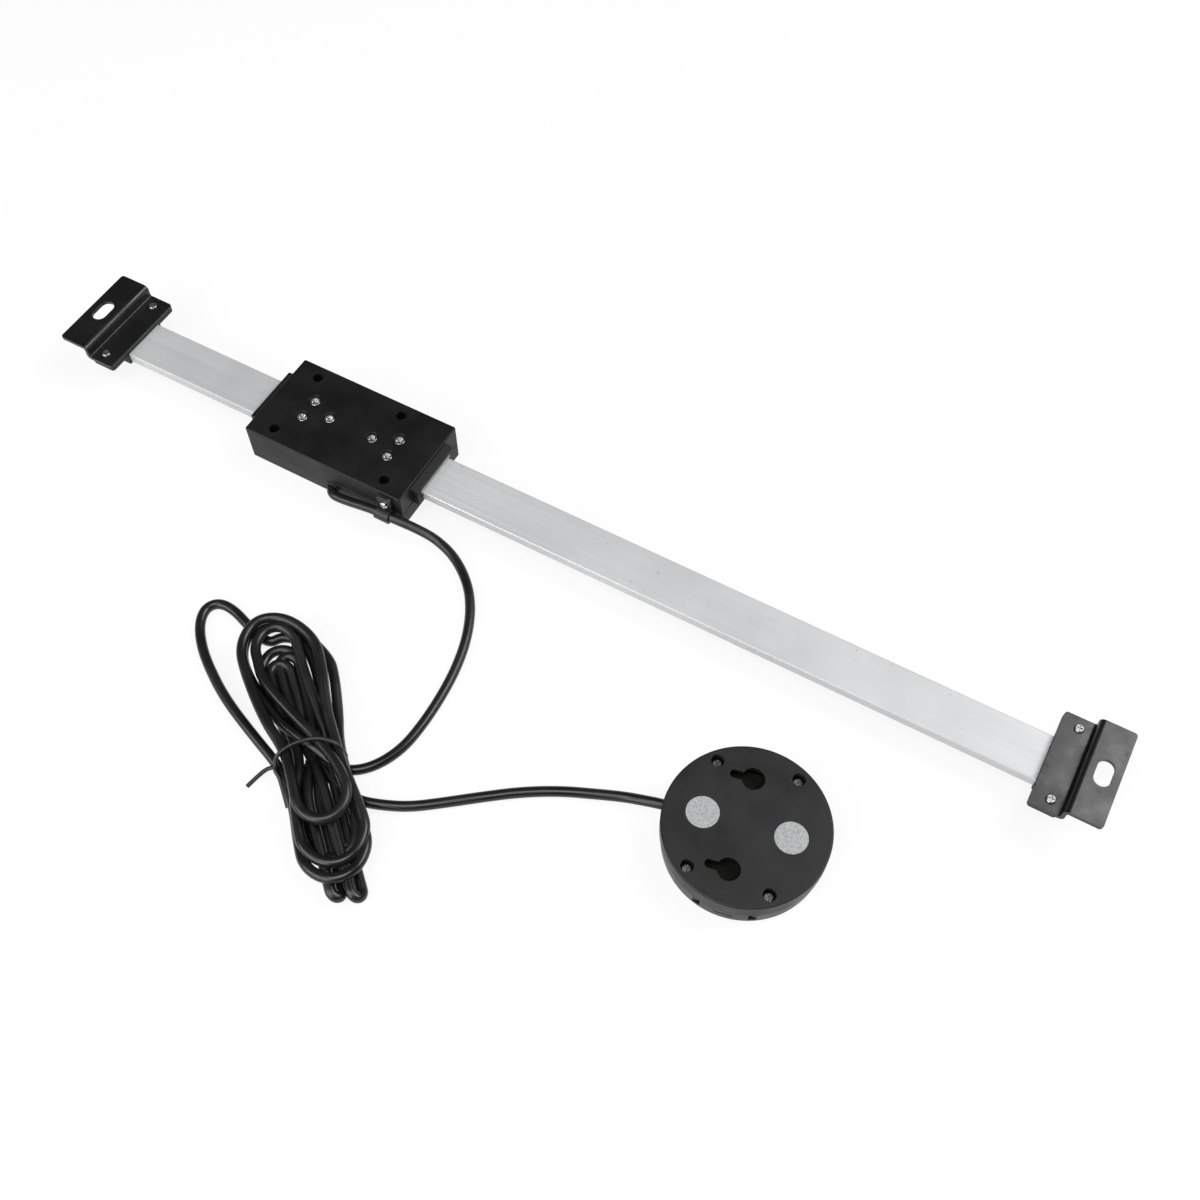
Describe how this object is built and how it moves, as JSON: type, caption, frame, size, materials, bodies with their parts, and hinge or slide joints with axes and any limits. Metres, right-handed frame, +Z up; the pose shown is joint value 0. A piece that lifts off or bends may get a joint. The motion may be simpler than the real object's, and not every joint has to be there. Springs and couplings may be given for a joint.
{
  "type": "digital linear scale",
  "caption": "Digital linear scale: a flat beam with slotted end brackets, a sliding reader head, and a round remote display on a tied cable.",
  "frame": {"origin": "on the floor under the reader head's centre, at the middle of the head's front cover", "axes": "+X along the beam towards the long end, +Y across the beam away from the display, +Z up, out of the head's back"},
  "size_m": [0.4596, 0.1908, 0.0204],
  "materials": {
    "satin_aluminium": "satin, finely brushed along its length",
    "strip_laminate": "matt",
    "cap_plastic": "matt moulded",
    "black_steel": "satin black coating",
    "bright_steel": "bright",
    "dark_steel": "black oxide",
    "head_plastic": "fine matt texture",
    "head_front_plastic": "fine matt texture",
    "board_laminate": "solder resist",
    "gib_bronze": "ground",
    "wiper_felt": "felt",
    "grommet_rubber": "matt",
    "clip_nylon": "satin moulded",
    "cable_sheath": "satin sheath",
    "tie_plastic": "plastic-covered wire",
    "display_plastic": "fine matt texture",
    "window_clear": "clear",
    "screen_glass": "reflective screen",
    "button_rubber": "matt",
    "mat_silicone": "matt",
    "drawer_plastic": "fine matt texture",
    "cell_steel": "bright nickel",
    "contact_spring": "bright",
    "magnet_grey": "dull, speckled"
  },
  "bodies": {
    "reader": {"head_back_cover": "head_plastic", "head_front_cover": "head_front_plastic", "head_cover_screws": "dark_steel", "reader_board": "board_laminate", "gib_plates": "gib_bronze", "gib_set_screws": "dark_steel", "left_wiper": "wiper_felt", "right_wiper": "wiper_felt", "cable_grommet": "grommet_rubber", "cable_clip": "clip_nylon", "clip_screw": "bright_steel", "cable_head_lead": "cable_sheath", "cable_loose_turn": "cable_sheath", "cable_display_lead": "cable_sheath", "cable_hank": "cable_sheath", "cable_tie": "tie_plastic", "display_back_cover": "display_plastic", "display_front_housing": "display_plastic", "display_window": "window_clear", "lcd_module": "screen_glass", "display_board": "board_laminate", "button_mat": "mat_silicone", "battery_contact": "contact_spring", "display_screws": "dark_steel", "mounting_magnets": "magnet_grey", "display_cable_bush": "grommet_rubber"},
    "rail": {"beam": "satin_aluminium", "scale_strip": "strip_laminate", "left_end_cap": "cap_plastic", "right_end_cap": "cap_plastic", "left_bracket": "black_steel", "right_bracket": "black_steel", "bracket_screws": "bright_steel"},
    "power_button": {"power_button": "button_rubber"},
    "zero_button": {"zero_button": "button_rubber"},
    "unit_button": {"unit_button": "button_rubber"},
    "battery_drawer": {"battery_drawer": "drawer_plastic", "coin_cell": "cell_steel"}
  },
  "joints": [
    {"name": "rail_slide", "type": "slide", "parent": "reader", "child": "rail", "axis": [1, 0, 0], "range_m": [-0.2575, 0.0665]},
    {"name": "power_button_press", "type": "slide", "parent": "reader", "child": "power_button", "axis": [0, 0, 1], "range_m": [0, 0.0006], "stiffness_N_per_m": 600, "springref_m": -0.0004},
    {"name": "zero_button_press", "type": "slide", "parent": "reader", "child": "zero_button", "axis": [0, 0, 1], "range_m": [0, 0.0006], "stiffness_N_per_m": 600, "springref_m": -0.0004},
    {"name": "unit_button_press", "type": "slide", "parent": "reader", "child": "unit_button", "axis": [0, 0, 1], "range_m": [0, 0.0006], "stiffness_N_per_m": 600, "springref_m": -0.0004},
    {"name": "drawer_slide", "type": "slide", "parent": "reader", "child": "battery_drawer", "axis": [0.1994, -0.9799, 0], "range_m": [0, 0.021]}
  ]
}
